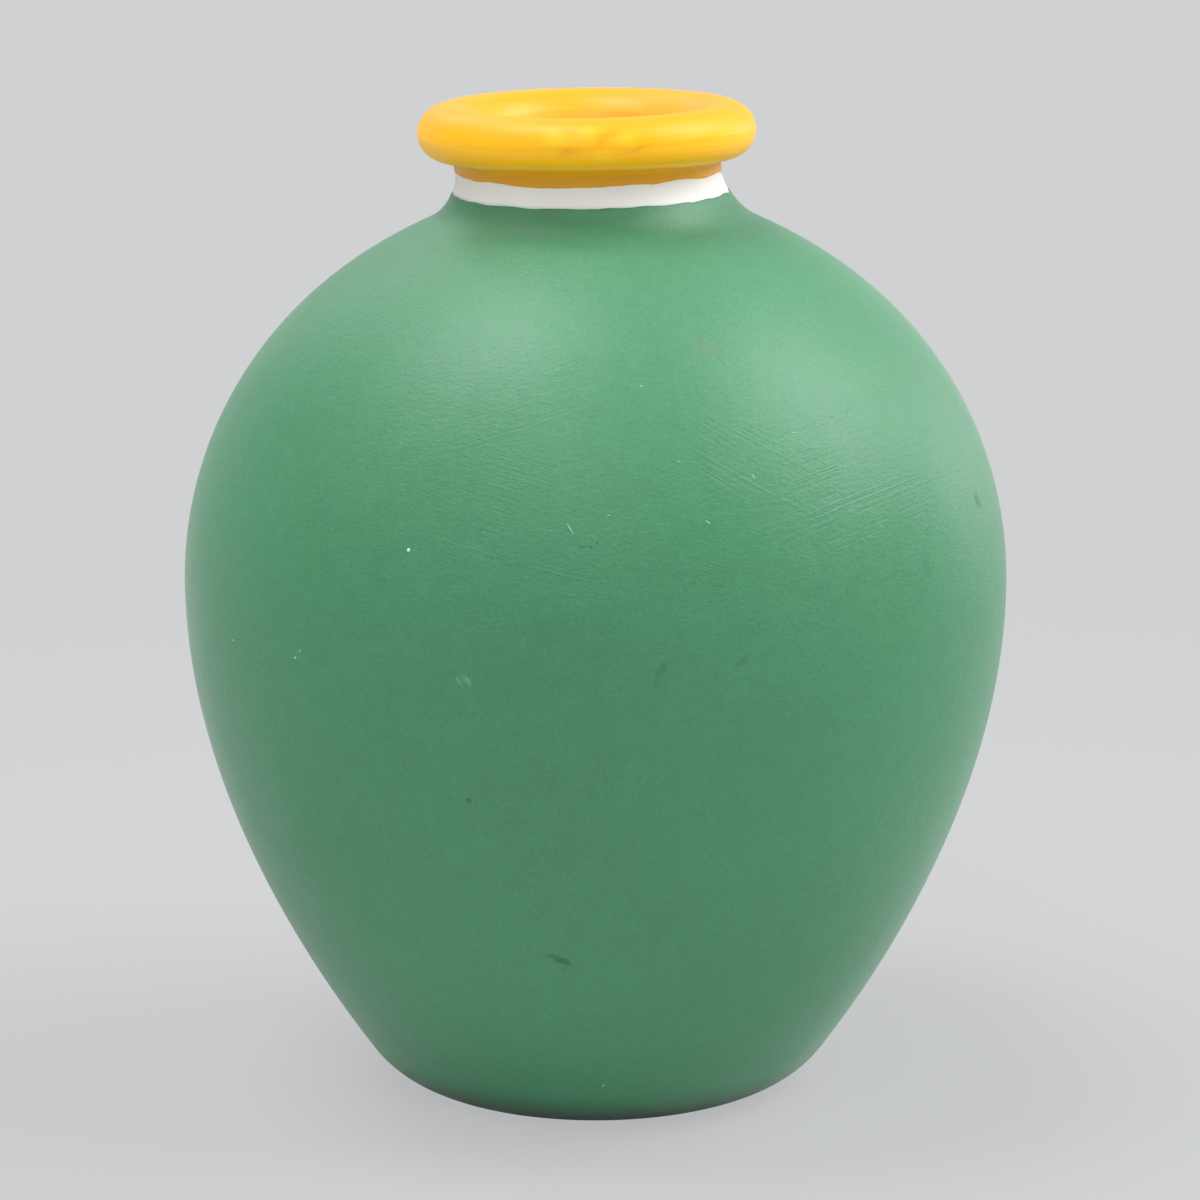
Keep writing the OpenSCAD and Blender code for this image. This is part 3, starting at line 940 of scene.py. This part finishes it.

# %% [markdown]
# ### Brush strokes
#
# A real coat is a pile of strokes, each over the last. Here each stroke is a strip on the jar's skin with a
# middle, a slope, a length and a width. Every face takes the topmost stroke on it, and each of its corners
# keeps the number that says how far it lies across that stroke. Kept at the corners of faces and not at
# points, the numbers of two strokes are never mixed. A few strokes are listed one by one where they show on
# the real jar, and the others come from a seeded draw.

# %% Brush strokes as attributes of the green skin
STROKES = 70
STROKE_LENGTH = (0.040, 0.075)
STROKE_WIDTH = (0.014, 0.026)
STROKE_SLOPE = (4, 36)
STROKE_BITE = (0.10, 0.50)
STROKE_BOW = (-2, 2)
STROKE_FADE = 0.007
END_FADE = 0.4
CHOSEN_STROKES = {
    "under": [
        {"angle": -14, "along": 0.171, "slope": 22, "length": 0.056, "width": 0.028, "bow": 1.2, "bite": 0.5},
        {"angle": 14, "along": 0.146, "slope": 17, "length": 0.050, "width": 0.030, "bow": 0.8, "bite": 0.8},
        {"angle": 18, "along": 0.133, "slope": -18, "length": 0.044, "width": 0.020, "bow": 0.8, "bite": 0.7},
        {"angle": 47, "along": 0.153, "slope": 6, "length": 0.072, "width": 0.036, "bow": -3, "bite": 0.8},
    ],
    "over": [
        {"angle": -7, "along": 0.145, "slope": -13, "length": 0.052, "width": 0.032, "bow": 1.2, "bite": 0.8},
        {"angle": 20, "along": 0.151, "slope": -34, "length": 0.046, "width": 0.036, "bow": 1.2, "bite": 0.75},
        {"angle": 10, "along": 0.142, "slope": -22, "length": 0.044, "width": 0.020, "bow": 0.6, "bite": 0.6},
    ],
}


def drawn_strokes(chance):
    """Strokes all over the jar, from a seeded draw."""
    strokes = []
    for k in range(STROKES):
        strokes.append({
            "angle": chance.uniform(-180, 180),
            "along": chance.uniform(0.004, end_of["green_sweep"]),
            "slope": chance.uniform(*STROKE_SLOPE) * (1 if k % 2 else -1),
            "length": chance.uniform(*STROKE_LENGTH),
            "width": chance.uniform(*STROKE_WIDTH),
            "bow": chance.uniform(*STROKE_BOW),
            "bite": chance.uniform(*STROKE_BITE),
        })
    return strokes


def face_corners(mesh):
    """For every corner of every face: its vertex and its face. And how many corners each face has."""
    vertex = np.zeros(len(mesh.loops), np.int32)
    mesh.loops.foreach_get("vertex_index", vertex)
    sides = np.zeros(len(mesh.polygons), np.int32)
    mesh.polygons.foreach_get("loop_total", sides)
    return vertex, np.repeat(np.arange(len(sides)), sides), sides


def across_stroke(stroke, angle, along):
    """How far places lie across a stroke, and how far inside its edge."""
    radius = np.interp(stroke["along"], run, outline[:, 0])
    turn, slope = math.radians(stroke["angle"]), math.radians(stroke["slope"])
    x = radius * ((angle - turn + math.pi) % (2 * math.pi) - math.pi)
    y = along - stroke["along"]
    forward = x * math.cos(slope) + y * math.sin(slope)
    sideways = y * math.cos(slope) - x * math.sin(slope) - stroke["bow"] * forward**2
    from_end = END_FADE * (stroke["length"] / 2 - abs(forward))
    return sideways, np.minimum(stroke["width"] / 2 - abs(sideways), from_end)


def lay_strokes(piece, layer, strokes):
    mesh = piece.data
    vertex, face, sides = face_corners(mesh)
    at = corners(mesh)[vertex]
    along = np.zeros(len(mesh.vertices), np.float32)
    mesh.attributes["along"].data.foreach_get("value", along)
    along = along[vertex]
    middle = [np.bincount(face, values) / sides for values in (at[:, 0], at[:, 1], along)]
    angle = np.arctan2(at[:, 0], -at[:, 1])
    middle_angle = np.arctan2(middle[0], -middle[1])
    across, bite = np.zeros(len(at)), np.zeros(len(at))
    for k, stroke in enumerate(strokes):
        on = (across_stroke(stroke, middle_angle, middle[2])[1] > 0)[face]
        sideways, inside = across_stroke(stroke, angle, along)
        fade = np.clip(inside / STROKE_FADE, 0, 1)
        beside_it = np.minimum(bite, np.clip(-inside / STROKE_FADE, 0, 1) * 2)
        across = np.where(on, sideways + 0.1 * k, across)
        bite = np.where(on, fade * stroke["bite"], beside_it)
    for name, values in (("across_" + layer, across), ("bite_" + layer, bite)):
        mesh.attributes.new(name, "FLOAT", "CORNER").data.foreach_set("value", values.astype(np.float32))
    print(f"strokes {layer}: {len(strokes)}, share with clear bristle marks: {(bite > 0.3).mean():.2f}")


chance = np.random.default_rng(11)
for layer, chosen in CHOSEN_STROKES.items():
    lay_strokes(green_skin, layer, drawn_strokes(chance) + chosen)

# %% [markdown]
# ### Specks
#
# Two drops of the white undercoat were flicked on the green, and dry crumbs of paler paint stuck in it, no
# longer than a grain of sugar. They are real and stand out of the paint, so they are geometry: points on
# the skin that a Geometry Nodes tree dresses with flattened round grains, half sunk in the paint. The
# crumbs' pale colour is partly a painted glint of the light that catches them.

# %% Specks of undercoat on the green
DROPS = [
    {"angle": -25.8, "along": 0.1388, "length": 0.00072, "width": 0.00072},
    {"angle": 131, "along": 0.1640, "length": 0.00070, "width": 0.00060},
]
FLECKS = [
    {"angle": -43.6, "along": 0.1152, "length": 0.00060, "width": 0.00050},
    {"angle": -42.7, "along": 0.1168, "length": 0.00100, "width": 0.00018, "turn": 50},
    {"angle": -57.9, "along": 0.1150, "length": 0.00055, "width": 0.00035},
    {"angle": 31.5, "along": 0.1604, "length": 0.00095, "width": 0.00032, "turn": 4},
    {"angle": 23.1, "along": 0.1526, "length": 0.00110, "width": 0.00028, "turn": 96},
    {"angle": 15.5, "along": 0.1447, "length": 0.00120, "width": 0.00030, "turn": -42},
    {"angle": 7.7, "along": 0.1722, "length": 0.00060, "width": 0.00040},
    {"angle": 12.2, "along": 0.1565, "length": 0.00050, "width": 0.00032},
    {"angle": -3.4, "along": 0.1442, "length": 0.00260, "width": 0.00020, "turn": -58},
    {"angle": 1.8, "along": 0.1467, "length": 0.00060, "width": 0.00024, "turn": 10},
    {"angle": 1.1, "along": 0.0193, "length": 0.00060, "width": 0.00045},
]
SPECK_HEIGHT = 0.00014
MORE_SPECKS = 30


def speck_tree():
    tree = bpy.data.node_groups.new("specks_on_points", "GeometryNodeTree")
    tree.interface.new_socket("Geometry", in_out="INPUT", socket_type="NodeSocketGeometry")
    tree.interface.new_socket("Height", in_out="INPUT", socket_type="NodeSocketFloat")
    tree.interface.new_socket("Material", in_out="INPUT", socket_type="NodeSocketMaterial")
    tree.interface.new_socket("Geometry", in_out="OUTPUT", socket_type="NodeSocketGeometry")
    given = node(tree, "NodeGroupInput").outputs
    grain_shape = node(tree, "GeometryNodeMeshIcoSphere", {"Radius": 1.0, "Subdivisions": 2}).outputs[0]
    facts = {}
    for name in ("size", "turned"):
        wanted = node(tree, "GeometryNodeInputNamedAttribute", {"Name": name}, data_type="FLOAT_VECTOR")
        facts[name] = wanted.outputs["Attribute"]
    scale = vectors(tree, "MULTIPLY", facts["size"], joined(tree, 1.0, 1.0, given["Height"]))
    inputs = {"Points": given["Geometry"], "Instance": grain_shape, "Rotation": facts["turned"], "Scale": scale}
    placed = node(tree, "GeometryNodeInstanceOnPoints", inputs).outputs[0]
    real = node(tree, "GeometryNodeRealizeInstances", {0: placed}).outputs[0]
    shaded = node(tree, "GeometryNodeSetShadeSmooth", {0: real}).outputs[0]
    dressed = node(tree, "GeometryNodeSetMaterial", {"Geometry": shaded, "Material": given["Material"]}).outputs[0]
    node(tree, "NodeGroupOutput", {0: dressed})
    return tree


def crumbs_with_painted_glint():
    """Dry crumbs of the green, mixed with white. Their pale colour is also a painted glint of light on them."""
    material, tree, shader, place = new_material("crumbs_with_painted_glint")
    # Painted highlight in part: the crumbs are paler than the green they are made of, for the glint of light on them.
    colour = blend(tree, grain(tree, place, 0.0012), srgb(112, 176, 138), srgb(150, 204, 172))
    tree.links.new(colour, shader.inputs["Base Color"])
    shader.inputs["Roughness"].default_value = 0.7
    return material


def scatter_specks(name, specks, skin, material):
    tree = BVHTree.FromObject(skin, bpy.context.evaluated_depsgraph_get())
    places, sizes, turns = [], [], []
    for speck in specks:
        at, axes = frame_at(speck["angle"], speck["along"], speck.get("turn", 0))
        outward = axes.col[2]
        place = tree.ray_cast(at + 0.01 * outward, -outward)[0]
        places.append(place)
        sizes.append((speck["length"] / 2, speck["width"] / 2, 1))
        turns.append(tuple(axes.to_euler()))
    mesh = bpy.data.meshes.new(name)
    mesh.from_pydata(places, [], [])
    for fact, values in (("size", sizes), ("turned", turns)):
        mesh.attributes.new(fact, "FLOAT_VECTOR", "POINT").data.foreach_set("vector", np.ravel(values))
    piece = bpy.data.objects.new(name, mesh)
    bpy.context.scene.collection.objects.link(piece)
    modifier = piece.modifiers.new("specks", "NODES")
    modifier.node_group = speck_tree()
    set_input(modifier, "Height", SPECK_HEIGHT)
    set_input(modifier, "Material", material)
    make_plain(piece)
    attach(piece, "root")
    print(f"{name}: {len(specks)} specks, {len(piece.data.polygons)} faces")
    return piece


drawn_flecks = []
for k in range(MORE_SPECKS):
    size = 0.00025 + 0.00045 * chance.random() ** 2
    drawn_flecks.append({
        "angle": chance.uniform(95, 265),
        "along": chance.uniform(0.02, 0.205),
        "length": size * chance.uniform(1.0, 2.2),
        "width": size,
        "turn": chance.uniform(0, 180),
    })
scatter_specks("undercoat_drops", DROPS, green_skin, white)
scatter_specks("pale_flecks", FLECKS + drawn_flecks, green_skin, crumbs_with_painted_glint())

# %% [markdown]
# ## Camera, light and floor
#
# The photograph was taken from a little above, with a long lens about 0.9 m away. The camera looks at the
# middle of the jar, a hair to its right, because the jar stands a hair left of the frame's middle.

# %% The camera
CAMERA_DISTANCE = 0.9128
CAMERA_PITCH = math.radians(12.57)
CAMERA_ROLL = math.radians(-0.3)
LOOK_AT = Vector((0.0008, 0.0, 0.0991))
LENS = 135
SENSOR = 36

camera_data = bpy.data.cameras.new("camera")
camera_data.lens = LENS
camera_data.sensor_width = SENSOR
camera = bpy.data.objects.new("camera", camera_data)
bpy.context.scene.collection.objects.link(camera)
back = Vector((0, -math.cos(CAMERA_PITCH), math.sin(CAMERA_PITCH)))
camera.location = LOOK_AT + CAMERA_DISTANCE * back
camera.rotation_mode = "QUATERNION"
camera.rotation_quaternion = (-back).to_track_quat("-Z", "Y") @ Quaternion((0, 0, 1), CAMERA_ROLL)
bpy.context.scene.camera = camera
print("camera at", [round(x, 4) for x in camera.location])

# %% [markdown]
# The light is that of a white photo tent: a broad lamp high on the left, a stronger broad one on the right,
# one overhead, and pale surroundings. The front faces none of them, so it stays the darkest part.

# %% Lamps
LAMP_DISTANCE = 5.0
LAMPS = {
    "lamp_right": {"azimuth": 92, "height": 42, "size": 3.6, "watts": 256},
    "lamp_over_left": {"azimuth": -90, "height": 72, "size": 2.4, "watts": 174},
    "lamp_front": {"azimuth": -10, "height": 42, "size": 2.4, "watts": 53},
    "lamp_left": {"azimuth": -75, "height": 42, "size": 2.9, "watts": 28},
    "lamp_back_right": {"azimuth": 128, "height": 8, "size": 1.8, "watts": 31},
    "lamp_back_left": {"azimuth": -150, "height": 40, "size": 2.4, "watts": 32},
}


def lamp(name, azimuth, height, size, watts):
    """A square area lamp that looks at the jar's middle. Azimuth 0 is the camera's side, 90 the right."""
    data = bpy.data.lights.new(name, "AREA")
    data.size = size
    data.energy = watts
    piece = bpy.data.objects.new(name, data)
    a, e = math.radians(azimuth), math.radians(height)
    out = Vector((math.sin(a) * math.cos(e), -math.cos(a) * math.cos(e), math.sin(e)))
    piece.location = LOOK_AT + LAMP_DISTANCE * out
    piece.rotation_mode = "QUATERNION"
    piece.rotation_quaternion = out.to_track_quat("Z", "Y")
    bpy.context.scene.collection.objects.link(piece)
    return piece


for name, facts in LAMPS.items():
    lamp(name, **facts)
print("lamps:", list(LAMPS))

# %% [markdown]
# The background of the photograph is one even pale grey. The world and the floor show that grey to the
# camera and to mirror-like rays, whatever light falls on them. The floor keeps a share of its real shading,
# so the jar still has its shadow.

# %% World and floor
BACKDROP = srgb(208, 209, 211)
WORLD_LIGHT = 0.35
FLOOR_SIZE = 12
SHADOW_SHARE = 0.17
FLOOR = srgb(214, 215, 217)
EVEN_SHARE = 0.86
CONTACT = (0.030, 0.090)
NEAR_THE_JAR = (0.18, 0.55)


def seen_directly(tree, clear=1.0):
    """1 for rays from the camera, a mirror or glass, and 0 for light that spreads. Clear dims mirrored rays."""
    path = node(tree, "ShaderNodeLightPath").outputs
    mirrored = sums(tree, "MULTIPLY", path["Is Glossy Ray"], clear)
    seen = sums(tree, "MAXIMUM", path["Is Camera Ray"], mirrored)
    return sums(tree, "MAXIMUM", seen, path["Is Transmission Ray"])


world = bpy.data.worlds.new("pale_surroundings")
bpy.context.scene.world = world
world.use_nodes = True
world.node_tree.nodes.clear()
grey = blend(world.node_tree, seen_directly(world.node_tree), (WORLD_LIGHT, WORLD_LIGHT, WORLD_LIGHT, 1), BACKDROP)
sky = node(world.node_tree, "ShaderNodeBackground", {"Color": grey, "Strength": 1.0})
node(world.node_tree, "ShaderNodeOutputWorld", {"Surface": sky.outputs[0]})

floor_material = bpy.data.materials.new("pale_floor")
floor_material.use_nodes = True
tree = floor_material.node_tree
tree.nodes.clear()
matt = node(tree, "ShaderNodeBsdfDiffuse", {"Color": FLOOR})
from_jar = vectors(tree, "LENGTH", node(tree, "ShaderNodeTexCoord").outputs["Object"])
far = soft_step(tree, from_jar, *NEAR_THE_JAR)
even = node(tree, "ShaderNodeEmission", {"Color": BACKDROP, "Strength": between(tree, far, EVEN_SHARE, 1.0)})
seen = seen_directly(tree, soft_step(tree, from_jar, *CONTACT))
share = sums(tree, "MULTIPLY", seen, between(tree, far, 1 - SHADOW_SHARE, 1.0))
mixed = node(tree, "ShaderNodeMixShader", {0: share, 1: matt.outputs[0], 2: even.outputs[0]})
node(tree, "ShaderNodeOutputMaterial", {"Surface": mixed.outputs[0]})

floor_mesh = bpy.data.meshes.new("floor")
half = FLOOR_SIZE / 2
floor_mesh.from_pydata([(-half, -half, 0), (half, -half, 0), (half, half, 0), (-half, half, 0)], [], [(0, 1, 2, 3)])
floor_mesh.materials.append(floor_material)
ground = bpy.data.objects.new("floor", floor_mesh)
bpy.context.scene.collection.objects.link(ground)
bpy.context.scene.view_settings.view_transform = "Standard"
